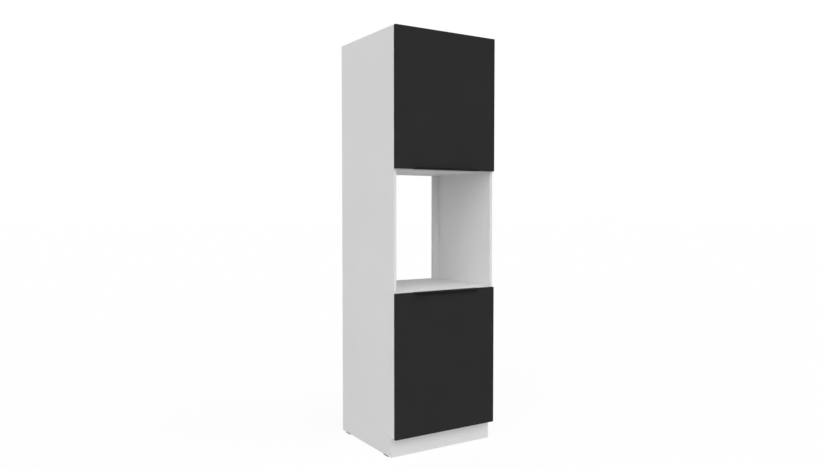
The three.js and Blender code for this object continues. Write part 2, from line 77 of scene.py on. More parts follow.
front_y = low_corner("side_panel_left").y
left_x = low_corner("side_panel_left").x
right_x = high_corner("side_panel_right").x
door_back_y = high_corner("lower_door").y
door_edge_x = high_corner("lower_door").x
fixed_panels = ("bottom_panel", "niche_floor", "niche_ceiling", "top_panel")
print("carcass front y", round(front_y, 4), "door back y", round(door_back_y, 4))

# %% [markdown]
# ## The camera
# The picture is taken from the left of the cabinet, a little above the middle of its
# height, and almost level. The place and lens were found by fitting a pinhole camera to
# the corners of the boards, so they are plain numbers here. The yaw is the turn to the
# right of the cabinet's own depth direction.

# %% Camera
CAMERA_PLACE = (-2.054, -3.2419, 1.2326)
CAMERA_YAW = 31.983
CAMERA_PITCH = -2.148
LENS = 31.33

camera_data = bpy.data.cameras.new("camera")
camera_data.lens = LENS
camera_data.sensor_width = 36.0
camera_data.clip_end = 200.0
camera = bpy.data.objects.new("camera", camera_data)
camera.location = CAMERA_PLACE
camera.rotation_euler = (math.radians(90 + CAMERA_PITCH), 0, -math.radians(CAMERA_YAW))
bpy.context.scene.collection.objects.link(camera)
bpy.context.scene.camera = camera
print("camera looks", [round(v, 3) for v in camera.matrix_basis.to_3x3() @ Vector((0, 0, -1))])

# %% [markdown]
# ## Small helpers for materials
# Every finish starts from Blender's Principled shader, which describes one surface with
# a few measured-looking numbers. Its variation comes from noise that is fixed to the
# object, so it stays in place when a door swings. The helpers below only shorten the
# wiring of nodes. A number that is the same everywhere is set on the shader directly.

# %% A finish and its nodes


def new_finish(name, colour, roughness, metallic=0.0, specular=0.5):
    finish = bpy.data.materials.new(name)
    finish.use_nodes = True
    shader = finish.node_tree.nodes["Principled BSDF"]
    shader.inputs["Base Color"].default_value = (*colour, 1)
    shader.inputs["Roughness"].default_value = roughness
    shader.inputs["Metallic"].default_value = metallic
    shader.inputs["Specular IOR Level"].default_value = specular
    return finish, finish.node_tree, shader


def node(tree, kind, **settings):
    """Adds a node. A setting goes to the input of that name, or else to the node itself."""
    made = tree.nodes.new(kind)
    for key, value in settings.items():
        if key in made.inputs:
            made.inputs[key].default_value = value
        else:
            setattr(made, key, value)
    return made


def grey(value):
    return (value, value, value)


def greys_round(value, drift):
    """A darker and a lighter grey, each a given share away from the middle one."""
    return grey(value * (1 - drift)), grey(value * (1 + drift))


print("a grey of 0.5 that drifts by a tenth:", greys_round(0.5, 0.1))

# %% Noise that stays on the piece
NOISE_LOW = 0.3
NOISE_HIGH = 0.7


def place_on_object(tree, stretch=(1, 1, 1)):
    """The surface point in metres, stretched along an axis for grain that runs one way."""
    where = node(tree, "ShaderNodeTexCoord")
    mapping = node(tree, "ShaderNodeMapping")
    mapping.inputs["Scale"].default_value = stretch
    tree.links.new(where.outputs["Object"], mapping.inputs["Vector"])
    return mapping.outputs["Vector"]


def noise(tree, where, scale, detail=2.0, roughness=0.5):
    """Noise whose patches are about one metre, divided by scale, across."""
    made = node(tree, "ShaderNodeTexNoise", Scale=scale, Detail=detail, Roughness=roughness)
    tree.links.new(where, made.inputs["Vector"])
    return made.outputs["Fac"]


print("noise mostly lies between", NOISE_LOW, "and", NOISE_HIGH)

# %% Colour, gloss and relief from noise


def two_tones(tree, value, dark, light):
    """A colour that wanders between two close tones."""
    ramp = node(tree, "ShaderNodeValToRGB")
    ends = ((NOISE_LOW, dark), (NOISE_HIGH, light))
    for stop, (position, tone) in zip(ramp.color_ramp.elements, ends):
        stop.position = position
        stop.color = (*tone, 1)
    tree.links.new(value, ramp.inputs["Fac"])
    return ramp.outputs["Color"]


def colour_by(tree, shader, value, dark, light):
    tree.links.new(two_tones(tree, value, dark, light), shader.inputs["Base Color"])


def gloss_by(tree, shader, value, low, high):
    """Lets the roughness wander between low and high."""
    made = node(tree, "ShaderNodeMapRange")
    tree.links.new(value, made.inputs["Value"])
    limits = {"From Min": NOISE_LOW, "From Max": NOISE_HIGH, "To Min": low, "To Max": high}
    for name, limit in limits.items():
        made.inputs[name].default_value = limit
    tree.links.new(made.outputs["Result"], shader.inputs["Roughness"])


def bumps(tree, shader, height, depth, strength):
    """Fine relief: depth is the height of the noise's own range, in metres."""
    made = node(tree, "ShaderNodeBump", Strength=strength, Distance=depth)
    tree.links.new(height, made.inputs["Height"])
    tree.links.new(made.outputs["Normal"], shader.inputs["Normal"])


print("noise can drive colour, gloss and relief")

# %% [markdown]
# ## White melamine
# The carcass is chipboard with a white melamine face. The face isn't a mirror: it is
# pressed with a very fine pearl grain, which only breaks up the gloss, and over a whole
# panel its tone drifts by about one part in a hundred. The same face runs on over the
# edge band, so one finish serves boards and edges. It could be a plain white, but then a
# panel two metres high would look like paper.

# %% White melamine
WHITE = 0.80
WHITE_DRIFT = 0.015


def white_melamine(name):
    finish, tree, shader = new_finish(name, grey(WHITE), 0.6, specular=0.12)
    where = place_on_object(tree)
    drift = noise(tree, where, scale=2.2, detail=3)
    colour_by(tree, shader, drift, *greys_round(WHITE, WHITE_DRIFT))
    grain = noise(tree, where, scale=1900, roughness=0.6)
    gloss_by(tree, shader, grain, low=0.54, high=0.68)
    bumps(tree, shader, grain, depth=0.04 * MM, strength=0.35)
    return finish


melamine = white_melamine("white_melamine")
print("white melamine, middle tone", WHITE)

# %% [markdown]
# ## Raw chipboard on the side panels' back edges
# The rear edges of the side panels stand against the wall, so makers leave them without
# a band and the chipboard shows: pressed flakes of pale and dark wood. The finish is the
# same melamine with chipboard mixed in, only where the surface faces backwards. That
# needs no separate strip, and the border falls exactly on the board's edge.

# %% Chipboard's own colour
FLAKE_SCALE = 650
FLAKE_TONES = ((0.0, (0.20, 0.13, 0.07)), (0.35, (0.42, 0.29, 0.17)),
               (0.7, (0.55, 0.40, 0.25)), (1.0, (0.68, 0.54, 0.37)))


def chipboard_colour(tree):
    """Each cell of a Voronoi pattern is a flake, and its tone is picked at random."""
    flakes = node(tree, "ShaderNodeTexVoronoi", Scale=FLAKE_SCALE, feature="F1")
    tree.links.new(place_on_object(tree), flakes.inputs["Vector"])
    ramp = node(tree, "ShaderNodeValToRGB")
    stops = ramp.color_ramp.elements
    (_, darkest), *between, (_, palest) = FLAKE_TONES
    stops[0].color = (*darkest, 1)
    stops[1].color = (*palest, 1)
    for position, tone in between:
        stops.new(position).color = (*tone, 1)
    split = node(tree, "ShaderNodeSeparateColor")
    tree.links.new(flakes.outputs["Color"], split.inputs["Color"])
    tree.links.new(split.outputs["Red"], ramp.inputs["Fac"])
    return ramp.outputs["Color"]


print("flakes are about", round(1 / FLAKE_SCALE / MM, 1), "mm across")

# %% Melamine with a raw back edge
FACING = 0.9
# numbers of the Mix node's sockets for colours
COLOUR_A, COLOUR_B, COLOUR_RESULT = 6, 7, 2


def faces_back(tree):
    """1 where the surface faces the wall behind the cabinet, 0 elsewhere."""
    where = node(tree, "ShaderNodeTexCoord")
    split = node(tree, "ShaderNodeSeparateXYZ")
    tree.links.new(where.outputs["Normal"], split.inputs["Vector"])
    step = node(tree, "ShaderNodeMath", operation="GREATER_THAN")
    step.inputs[1].default_value = FACING
    tree.links.new(split.outputs["Y"], step.inputs[0])
    return step.outputs["Value"]


def with_raw_back(finish, raw_colour):
    """Lets the backward faces of a finish show the bare material."""
    tree = finish.node_tree
    shader = tree.nodes["Principled BSDF"]
    faced = shader.inputs["Base Color"].links[0].from_socket
    mix = node(tree, "ShaderNodeMix", data_type="RGBA")
    tree.links.new(faces_back(tree), mix.inputs["Factor"])
    tree.links.new(faced, mix.inputs[COLOUR_A])
    tree.links.new(raw_colour(tree), mix.inputs[COLOUR_B])
    tree.links.new(mix.outputs[COLOUR_RESULT], shader.inputs["Base Color"])
    return finish


side_melamine = with_raw_back(white_melamine("white_melamine_raw_back"), chipboard_colour)
print("side panels' finish:", side_melamine.name)

# %% [markdown]
# ## Thin back panels
# The backs are 3 mm hardboard, painted white on the side that the compartments show and
# bare on the wall side. Bare hardboard is pressed fibre: an even brown with short,
# darker threads. The threads are stretched noise.

# %% Hardboard with a white face


def hardboard_colour(tree):
    stretched = place_on_object(tree, stretch=(1.0, 1.0, 0.35))
    threads = noise(tree, stretched, scale=900, detail=4, roughness=0.7)
    return two_tones(tree, threads, (0.17, 0.10, 0.05), (0.33, 0.21, 0.12))


def white_hardboard():
    finish, tree, shader = new_finish("hardboard_white_face", grey(0.79), 0.65, specular=0.12)
    where = place_on_object(tree)
    drift = noise(tree, where, scale=3.0, detail=3)
    colour_by(tree, shader, drift, grey(0.775), grey(0.805))
    ripple = noise(tree, where, scale=700, detail=3)
    gloss_by(tree, shader, ripple, low=0.56, high=0.7)
    bumps(tree, shader, ripple, depth=0.06 * MM, strength=0.35)
    return finish


hardboard = with_raw_back(white_hardboard(), hardboard_colour)
print("back panels' finish:", hardboard.name)

# %% [markdown]
# ## Matt black doors
# The doors have a super-matt black face. It throws back very little light: about two
# parts in a hundred. What gloss it has is broad and soft, and it is a touch less matt
# where hands have passed over it. So the variation goes into the roughness more than
# into the colour.

# %% Matt black face
BLACK = 0.0281
BLACK_DRIFT = 0.05


def matt_black():
    finish, tree, shader = new_finish("matt_black", grey(BLACK), 0.7, specular=0.03)
    where = place_on_object(tree)
    drift = noise(tree, where, scale=4.0, detail=4)
    colour_by(tree, shader, drift, *greys_round(BLACK, BLACK_DRIFT))
    wiped = noise(tree, where, scale=9.0, detail=5, roughness=0.6)
    gloss_by(tree, shader, wiped, low=0.64, high=0.76)
    grain = noise(tree, where, scale=2400, roughness=0.6)
    bumps(tree, shader, grain, depth=0.03 * MM, strength=0.3)
    return finish


door_black = matt_black()
print("door tone", BLACK)

# %% [markdown]
# ## Metals and plastics
# The pulls are bent steel with a satin black powder coat, which dries with a slight
# orange peel. Its black is set darker than the doors': partly the coat's own colour,
# partly painted shade that stands for the shadow under each pull's lip. The hinges,
# pegs and screws are steel with a nickel plating, tumbled rather than polished, so its
# gloss has fine scratches. The glides are hard black plastic with a spark-eroded
# mould's fine texture.

# %% Powder coat


def shade_darkened_powder_coat():
    # The black of 0.009 to 0.012 is darker than the doors': partly the coat's colour, partly
    # painted shade for the shadow under the lip.
    finish, tree, shader = new_finish("black_powder_coat", grey(0.010), 0.5, specular=0.08)
    where = place_on_object(tree)
    speckle = noise(tree, where, scale=1500)
    colour_by(tree, shader, speckle, grey(0.009), grey(0.012))
    peel = noise(tree, where, scale=800)
    gloss_by(tree, shader, peel, low=0.44, high=0.56)
    bumps(tree, shader, peel, depth=0.05 * MM, strength=0.4)
    return finish


coat = shade_darkened_powder_coat()
print("pulls' finish:", coat.name)

# %% Nickel plating


def nickel_plate():
    finish, tree, shader = new_finish("nickel_plate", (0.66, 0.655, 0.64), 0.3, metallic=1.0)
    cloud = noise(tree, place_on_object(tree), scale=60, detail=3)
    colour_by(tree, shader, cloud, (0.60, 0.595, 0.58), (0.69, 0.685, 0.67))
    stretched = place_on_object(tree, stretch=(1.0, 1.0, 0.12))
    scratches = noise(tree, stretched, scale=3500, detail=3, roughness=0.7)
    gloss_by(tree, shader, scratches, low=0.22, high=0.4)
    bumps(tree, shader, scratches, depth=0.02 * MM, strength=0.4)
    return finish


nickel = nickel_plate()
print("hinges' finish:", nickel.name)

# %% Glide plastic, and the finish of each kind of part


def glide_plastic():
    finish, tree, shader = new_finish("glide_plastic", grey(0.014), 0.55, specular=0.15)
    where = place_on_object(tree)
    texture = noise(tree, where, scale=2600)
    colour_by(tree, shader, texture, grey(0.012), grey(0.017))
    gloss_by(tree, shader, texture, low=0.42, high=0.6)
    bumps(tree, shader, texture, depth=0.06 * MM, strength=0.5)
    return finish


plastic = glide_plastic()
finish_of_slot = {
    "white_board": melamine, "back_board": hardboard, "black_board": door_black,
    "black_metal": coat, "nickel": nickel, "black_plastic": plastic,
}
print("finishes:", len(finish_of_slot))

# %% [markdown]
# ## Dress the frame
# The record says which finish each board and fitting takes. A node of the frame keeps
# its exact shape, and only its material changes. The two side panels get the version
# with the raw back edge.

# %% Give each node its finish
slot_of_node = {part["node"]: part["material_slot"] for part in frame["record"]["subparts"]}


def paint(thing, finish):
    thing.data.materials.clear()
    thing.data.materials.append(finish)


for name, thing in frame["nodes"].items():
    paint(thing, finish_of_slot[slot_of_node[name]])
for side in ("left", "right"):
    paint(frame["nodes"]["side_panel_" + side], side_melamine)
print("dressed", len(frame["nodes"]), "nodes")

# %% [markdown]
# ## Helpers for small parts
# Fittings are either bent or stamped from sheet, or turned. A stamped part is an outline
# that is raised to a thickness and gets soft rims. A turned part is a profile that goes
# round an axis. Both are built here vertex by vertex, which gives exact sizes, and the
# rims get a real bevel, because light catches on it.

# %% Turning a plan, and a wall round it


def along_z(u, v, w):
    return (u, v, w)


def along_y(u, v, w):
    return (u, w, v)


def along_x(u, v, w):
    return (w, u, v)


def wall(mesh, lower, upper):
    """Faces between two rings of points. A ring of one point closes to a tip."""
    sides = max(len(lower), len(upper))
    faces = []
    for i in range(sides):
        j = (i + 1) % sides
        corners = (lower[i % len(lower)], lower[j % len(lower)],
                   upper[j % len(upper)], upper[i % len(upper)])
        different = list(dict.fromkeys(corners))
        if len(different) > 2:
            faces.append(mesh.faces.new(different))
    return faces


print("(1, 2) at height 3, along x:", along_x(1, 2, 3))

# %% Stamped parts


def add_plate(mesh, plate):
    """Adds a plate that was made apart, so that its faces keep one order in every run."""
    data = bpy.data.meshes.new("plate")
    plate.to_mesh(data)
    plate.free()
    mesh.from_mesh(data)
    bpy.data.meshes.remove(data)


def stamped(mesh, points, low, high, turn=along_z, rim=0.0, rounds=2):
    """Raises an outline of (u, v) points from low to high and softens its two rims."""
    plate = bmesh.new()
    rings = [[plate.verts.new(turn(u, v, w)) for u, v in points] for w in (low, high)]
    ends = [plate.faces.new(ring) for ring in rings]
    bmesh.ops.recalc_face_normals(plate, faces=ends + wall(plate, *rings))
    if rim > 0:
        edges = [edge for end in ends for edge in end.edges]
        bmesh.ops.bevel(plate, geom=edges, offset=rim, offset_type="OFFSET",
                        segments=rounds, profile=0.5, affect="EDGES", clamp_overlap=True)
    add_plate(mesh, plate)


block = bmesh.new()
stamped(block, [(0, 0), (1, 0), (1, 1), (0, 1)], 0, 1, rim=0.1)
print("a block with two soft rims has", len(block.faces), "faces")
block.free()

# %% Outlines with round ends


def arc(centre, radius, start, end, steps):
    """Points of an arc, in degrees, counted anticlockwise when end is above start."""
    made = []
    for i in range(steps + 1):
        angle = math.radians(start + (end - start) * i / steps)
        made.append((centre[0] + radius * math.cos(angle), centre[1] + radius * math.sin(angle)))
    return made


def slot_outline(a, b, radius, steps=14):
    """A slot-shaped outline round two points."""
    heading = math.degrees(math.atan2(b[1] - a[1], b[0] - a[0]))
    return (arc(a, radius, heading + 90, heading + 270, steps)
            + arc(b, radius, heading - 90, heading + 90, steps))


print("a slot shape has", len(slot_outline((0, 0), (1, 0), 0.2)), "points")

# %% Turned parts


def turned(mesh, profile, centre, sides, axis="z"):
    """Turns a profile of (radius, height) points round an axis through centre."""
    def point(radius, height, i):
        angle = 2 * math.pi * i / sides
        a, b = radius * math.cos(angle), radius * math.sin(angle)
        place = {"z": (a, b, height), "y": (a, height, b), "x": (height, a, b)}[axis]
        return Vector(centre) + Vector(place)

    rings = []
    for radius, height in profile:
        count = 1 if radius == 0 else sides
        rings.append([mesh.verts.new(point(radius, height, i)) for i in range(count)])
    faces = []
    for lower, upper in zip(rings, rings[1:]):
        faces += wall(mesh, lower, upper)
    bmesh.ops.recalc_face_normals(mesh, faces=faces)
    return rings


def pin(mesh, radius, low, high, centre, axis="z", sides=20):
    """A plain round pin, from low to high along its axis."""
    turned(mesh, [(0, low), (radius, low), (radius, high), (0, high)], centre, sides, axis)


def rounded_rim(radius, height, round_by):
    """Profile points for the soft outer corner of a turned part, going inwards."""
    return arc((radius - round_by, height - round_by), round_by, 0, 90, 4)


print("a rounded rim has", len(rounded_rim(1.0, 1.0, 0.2)), "points")

# %% Putting a piece into the scene
SHARP_ABOVE = 35


def shape(name, build, finish, sharp_above=SHARP_ABOVE):
    """Builds a mesh once, by a function that fills it, with soft shading on its curves."""
    mesh = bmesh.new()
    build(mesh)
    data = bpy.data.meshes.new(name)
    mesh.to_mesh(data)
    mesh.free()
    data.polygons.foreach_set("use_smooth", [True] * len(data.polygons))
    data.set_sharp_from_angle(angle=math.radians(sharp_above))
    data.materials.append(finish)
    print(name + ":", len(data.polygons), "faces")
    return data


def put(name, data, body, place=(0, 0, 0), turn=(0, 0, 0), instead_of=()):
    """Places a piece, lets it ride on its body and hides the frame's nodes that it replaces."""
    thing = bpy.data.objects.new(name, data)
    thing.location = place
    thing.rotation_euler = [math.radians(angle) for angle in turn]
    bpy.context.scene.collection.objects.link(thing)
    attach(thing, body)
    if instead_of:
        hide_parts(*instead_of)
    return thing


print("bends above", SHARP_ABOVE, "degrees stay sharp")

# %% [markdown]
# ## Screws
# A screw's head is a low dome with a cross-shaped recess for the driver. The dome is
# turned, and the recess is cut by leaving its outline open in the top and letting it
# down into the head. A recess could be painted on, but a real one holds a shadow from
# every side. All screws of a size share one mesh.

# %% Outline of a cross recess


def cross_outline(reach, half_width):
    a, b = reach, half_width
    return [(a, -b), (a, b), (b, b), (b, a), (-b, a), (-b, b),
            (-a, b), (-a, -b), (-b, -b), (-b, -a), (b, -a), (b, -b)]


def edges_of(mesh, ring):
    return [mesh.edges.get(ends) for ends in zip(ring, ring[1:] + ring[:1])]


print("a cross has", len(cross_outline(2, 1)), "corners")

# %% A screw's head with its cross recess
HEAD_SIDES = 40
DOME_STEPS = 5
RECESS_TAPER = 0.6


def screw_head(radius, rise, skirt, reach, half_width, recess):
    """Builds a head on the XY plane: it rises to +Z and has a skirt that goes below 0."""
    def build(mesh):
        flat = reach + half_width
        profile = [(radius, -skirt), (radius, 0)]
        for i in range(1, DOME_STEPS + 1):
            t = i / DOME_STEPS
            profile.append((radius + (flat - radius) * t, rise * math.sin(math.pi / 2 * t)))
        rings = turned(mesh, profile, (0, 0, 0), HEAD_SIDES)
        mesh.faces.new(rings[0][::-1])
        cross = cross_outline(reach, half_width)
        lip = [mesh.verts.new((u, v, rise)) for u, v in cross]
        foot = [mesh.verts.new((u * RECESS_TAPER, v * RECESS_TAPER, rise - recess))
                for u, v in cross]
        wall(mesh, foot, lip)
        mesh.faces.new(foot)
        edges = edges_of(mesh, rings[-1]) + edges_of(mesh, lip)
        bmesh.ops.triangle_fill(mesh, use_beauty=True, edges=edges, normal=(0, 0, 1))
        bmesh.ops.recalc_face_normals(mesh, faces=mesh.faces)
    return build


print("sides of a head:", HEAD_SIDES)

# %% The screws
# in millimetres: radius, rise, skirt, and the cross's reach, half width and depth
SCREWS = {
    "flange_screw": ((2.9, 0.7, 1.0, 1.5, 0.35, 0.9), nickel),
    "plate_screw": ((3.4, 1.2, 1.2, 1.8, 0.4, 1.2), nickel),
    "pull_screw": ((2.7, 0.6, 0.8, 1.4, 0.3, 0.8), coat),
    "adjusting_screw": ((3.8, 0.5, 0.9, 1.9, 0.4, 0.9), nickel),
}
screws = {name: shape(name, screw_head(*(size * MM for size in sizes)), finish)
          for name, (sizes, finish) in SCREWS.items()}

# %% [markdown]
# ## Caps over the carcass screws
# Long screws go through the side panels into the four fixed panels, two for each end.
# Their holes are closed by white push-in caps. A moulded white is never quite the
# board's white, so they show as faint round spots a little greyer than the panel. A cap
# is a thin turned disc with a soft rim and a slightly domed face, and it stands a fifth
# of a millimetre proud of the board. The spots could be painted into the panel's finish,
# but a real disc also catches light on its rim.

# %% A screw cap and its plastic
CAP_RADIUS = 6.5 * MM
CAP_PROUD = 0.2 * MM
CAP_DOME = 0.05 * MM
CAP_RIM = 0.15 * MM
CAP_PLUG = 1.0 * MM
CAP_TAPER = 0.5 * MM
CAP_WHITE = 0.735


def cap_plastic():
    finish, tree, shader = new_finish("white_cap_plastic", grey(CAP_WHITE), 0.5, specular=0.2)
    where = place_on_object(tree)
    texture = noise(tree, where, scale=2300)
    colour_by(tree, shader, texture, *greys_round(CAP_WHITE, WHITE_DRIFT))
    gloss_by(tree, shader, texture, low=0.42, high=0.56)
    bumps(tree, shader, texture, depth=0.04 * MM, strength=0.4)
    return finish


def screw_cap(mesh):
    """The board's face is at 0: a plug goes below it and a low dome above."""
    profile = [(0, -CAP_PLUG), (CAP_RADIUS - CAP_TAPER, -CAP_PLUG), (CAP_RADIUS, -CAP_RIM)]
    profile += rounded_rim(CAP_RADIUS, CAP_PROUD - CAP_DOME, CAP_RIM)
    profile += [(CAP_RADIUS * 0.5, CAP_PROUD - CAP_DOME * 0.2), (0, CAP_PROUD)]
    turned(mesh, profile, (0, 0, 0), sides=40)


cap_data = shape("screw_cap", screw_cap, cap_plastic())

# %% Caps on the side panels
CAP_DEPTHS = {"front": 40 * MM, "rear": 457 * MM}
caps = []
for side, x, turn in (("left", left_x, -90), ("right", right_x, 90)):
    for panel in fixed_panels:
        middle_z = (low_corner(panel).z + high_corner(panel).z) / 2
        for row, depth in CAP_DEPTHS.items():
            caps.append(put(f"screw_cap_{panel}_{row}_{side}", cap_data, "carcass",
                            (x, front_y + depth, middle_z), (0, turn, 0)))
print("screw caps:", len(caps))

# %% [markdown]
# ## Edge pulls
# Each pull is one strip of steel, bent three times: a leg lies in a shallow pocket in
# the door's back, a plate goes over the door's edge, and a rounded lip stands in front
# of the face for the fingers. In section it is a single closed line, so the pull is
# that section, stretched along the door. The bends get many short steps, because they
# carry the long highlights, and the ends get a fine rim where the strip was cut.

# %% Section of the pull
pull_low, pull_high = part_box("lower_door_pull")
SHEET = 1.5 * MM
HEEL_RADIUS = 0.45 * MM
HEEL_CUT = 0.13 * MM
LIP_RADIUS = 8 * MM
LEG = 20 * MM
pull_length = pull_high.x - pull_low.x
pull_tip_y = pull_low.y


def pull_section():
    """(y, z) points: the door's back at y = 0 and its edge at z = 0, the front at -y."""
    tip = pull_tip_y - door_back_y
    bend = (tip + LIP_RADIUS, SHEET - LIP_RADIUS)
    outer = arc(bend, LIP_RADIUS, 90, 180, 14)
    inner = arc(bend, LIP_RADIUS - SHEET, 180, 90, 14)
    lip_foot = arc((tip + SHEET / 2, bend[1]), SHEET / 2, 180, 360, 6)[1:-1]
    heel = [(0, SHEET - HEEL_RADIUS), (-HEEL_CUT, SHEET - HEEL_CUT), (-HEEL_RADIUS, SHEET)]
    inside = [(-SHEET, 0), (-SHEET, -LEG)]
    return [(0, -LEG)] + heel + outer + lip_foot + inner + inside


def edge_pull(mesh):
    stamped(mesh, pull_section(), -pull_length / 2, pull_length / 2, turn=along_x,
            rim=0.25 * MM)


pull_data = shape("edge_pull", edge_pull, coat, sharp_above=50)
print("pull: length", round(pull_length, 4), "section points", len(pull_section()))

# %% Both pulls and their screws
PULL_SCREWS = (-160 * MM, 0.0, 160 * MM)
for name, up, edge_z in (("lower_door", 1, high_corner("lower_door").z),
                         ("upper_door", -1, low_corner("upper_door").z)):
    put(name + "_edge_pull", pull_data, name, (0, door_back_y, edge_z),
        (0, 0 if up > 0 else 180, 0), instead_of=[name + "_pull"])
    for number, x in enumerate(PULL_SCREWS, 1):
        put(f"{name}_pull_screw_{number}", screws["pull_screw"], name,
            (x, door_back_y, edge_z - up * LEG / 2), (-90, 0, 0))
print("pull screws:", 2 * len(PULL_SCREWS))

# %% [markdown]
# ## Shelf pegs and glides
# A shelf peg is a turned pin: a thin stem in the side panel and a thicker nose under the
# shelf, with a small collar against the board. The glides are moulded, so their rims
# are round. The frame holds both with few sides, to keep it light, and these finer
# shapes stand for them.

# %% Turned pegs
STEM_RADIUS = 2.2 * MM
STEM_LENGTH = 8 * MM
NOSE_RADIUS = 3.8 * MM
NOSE_LENGTH = 9 * MM
PEG_CHAMFER = 0.6 * MM
GROOVE_RADIUS = 3.5 * MM


def shelf_peg(mesh):
    """The board's inner face is at 0, the stem goes to -Z and the nose to +Z."""
    stem = [(0, -STEM_LENGTH), (STEM_RADIUS - PEG_CHAMFER, -STEM_LENGTH),
            (STEM_RADIUS, PEG_CHAMFER - STEM_LENGTH), (STEM_RADIUS, 0)]
    collar = [(NOSE_RADIUS - 0.2 * MM, 0.01 * MM), (NOSE_RADIUS, 0.2 * MM),
              (NOSE_RADIUS, 1.1 * MM)]
    groove = [(GROOVE_RADIUS, 1.4 * MM), (GROOVE_RADIUS, 1.7 * MM), (NOSE_RADIUS, 2.0 * MM)]
    nose = rounded_rim(NOSE_RADIUS, NOSE_LENGTH, PEG_CHAMFER) + [(0, NOSE_LENGTH)]
    turned(mesh, stem + collar + groove + nose, (0, 0, 0), sides=32)


peg_data = shape("shelf_peg", shelf_peg, nickel)

# %% Pegs in the side panels
pegs = []
inner_left_x = high_corner("side_panel_left").x
inner_right_x = low_corner("side_panel_right").x
for compartment in ("upper", "lower"):
    for row in ("front", "rear"):
        for side, x, turn in (("left", inner_left_x, 90), ("right", inner_right_x, -90)):
            node_name = compartment + "_peg_" + row + "_" + side
            low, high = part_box(node_name)
            pegs.append(put(node_name + "_turned", peg_data, "carcass",
                            (x, (low.y + high.y) / 2, (low.z + high.z) / 2), (0, turn, 0),
                            instead_of=[node_name]))
print("pegs turned:", len(pegs))

# %% Moulded glides
STEP_HEIGHT = 0.4 * MM
STEP_WIDTH = 0.6 * MM
STEP_ROOT = 1.5 * MM


def glide(mesh):
    """A slot-shaped foot with its top at 0, soft rims and a fine step at the board."""
    low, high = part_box("glide_front_left")
    half = (high.x - low.x) / 2
    reach = (high.y - low.y) / 2 - half
    height = high.z - low.z
    stamped(mesh, slot_outline((0, -reach), (0, reach), half), -height, -STEP_HEIGHT,
            rim=0.4 * MM, rounds=3)
    stamped(mesh, slot_outline((0, -reach), (0, reach), half - STEP_WIDTH), -STEP_ROOT, 0)


glide_data = shape("glide", glide, plastic)
glides = []
for row in ("front", "rear"):
    for side in ("left", "right"):
        node_name = "glide_" + row + "_" + side
        low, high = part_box(node_name)
        middle = (low + high) / 2
        glides.append(put(node_name + "_moulded", glide_data, "carcass",
                          (middle.x, middle.y, high.z), instead_of=[node_name]))
print("glides moulded:", len(glides))

# %% [markdown]
# ## Concealed hinges
# A concealed hinge is a small four-bar linkage. The cup sits in a bore in the door, the
# arm is clamped to a plate on the side panel, and two levers of different length join
# them, so that the door first moves away from the carcass and then turns. All four
# hinges are alike, so each piece is built once and placed four times. The plan of the
# linkage is given by its four pivots, counted from the door's hinge edge and from the
# carcass front; they are the same as in the frame, and the levers ride on their bodies.

# %% The linkage's plan
LONG_PIVOT = (-45.5 * MM, 17.66 * MM)
SHORT_PIVOT = (-35.26 * MM, 6.11 * MM)
LONG_PIN = (-11.86 * MM, -3.2 * MM)
SHORT_PIN = (-12.11 * MM, -4.58 * MM)
LEVER_HALF = 1.9 * MM
# heights above and below the hinge's middle, in millimetres
LAYERS = {"short": (0, 3.0), "fork": (3.3, 4.4), "long": (4.7, 6.2), "arm": (7.3, 8.8)}
hinge_names = [door + "_" + end + "_hinge" for door in ("upper", "lower")
               for end in ("top", "bottom")]


def layer(name):
    """Lower and upper height of a layer above the hinge's middle, in metres."""
    low, high = LAYERS[name]
    return low * MM, high * MM


def both_sides(mesh, points, name, rim=0.25 * MM):
    """A stamped plate above the hinge's middle and its twin below."""
    low, high = layer(name)
    stamped(mesh, points, low, high, rim=rim)
    stamped(mesh, points, -high, -low, rim=rim)


hinge_heights = {}
for name in hinge_names:
    low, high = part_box(name + "_arm")
    hinge_heights[name] = (low.z + high.z) / 2
print("hinge heights:", {name: round(z, 3) for name, z in hinge_heights.items()})

# %% [markdown]
# ## Levers
# Both levers bow round the edge of the door. Each is stamped from sheet with a round eye
# at each end. The bow is a quadratic curve: the outline follows it at half the lever's
# width on either side. The long lever has two cheeks, which a cross bar joins behind its
# pivot. The ends of the pins are peened over into low domes, and these show on the
# outside of the cheeks.

# %% Lever outline
BOW_AT = 0.62
BOW_STEPS = 18
EYE_STEPS = 14


def bowed_outline(start, end, bow):
    """A lever's outline: a bowed strip with a round eye at each of its two pins."""
    a, c = Vector(start), Vector(end)
    along = (c - a).normalized()
    b = a.lerp(c, BOW_AT) + Vector((along.y, -along.x)) * bow

    def at(t):
        return a * (1 - t) ** 2 + b * 2 * t * (1 - t) + c * t ** 2

    def heading(t):
        way = (b - a) * (1 - t) + (c - b) * t
        return math.degrees(math.atan2(way.y, way.x))

    def beside(t, side):
        angle = math.radians(heading(t) + side * 90)
        return tuple(at(t) + Vector((math.cos(angle), math.sin(angle))) * LEVER_HALF)

    points = arc(start, LEVER_HALF, heading(0) + 90, heading(0) + 270, EYE_STEPS)
    points += [beside(i / BOW_STEPS, -1) for i in range(1, BOW_STEPS)]
    points += arc(end, LEVER_HALF, heading(1) - 90, heading(1) + 90, EYE_STEPS)
    points += [beside(i / BOW_STEPS, 1) for i in range(BOW_STEPS - 1, 0, -1)]
    return points


print("a lever's outline has", len(bowed_outline((0, 0), (1, 0), 0.1)), "points")

# %% The two levers
SHORT_BOW = 8.8 * MM
LONG_BOW = 7.0 * MM
BAR_RADIUS = 1.1 * MM
BAR_PLACE = (LONG_PIVOT[0] + 2 * MM, LONG_PIVOT[1] + 4 * MM)
DOME_RADIUS = 1.35 * MM
DOME_RISE = 0.35 * MM
DOME_ROOT = 0.6 * MM


def short_lever(mesh):
    top = layer("short")[1]
    stamped(mesh, bowed_outline(SHORT_PIVOT, SHORT_PIN, SHORT_BOW), -top, top,
            rim=0.4 * MM, rounds=3)


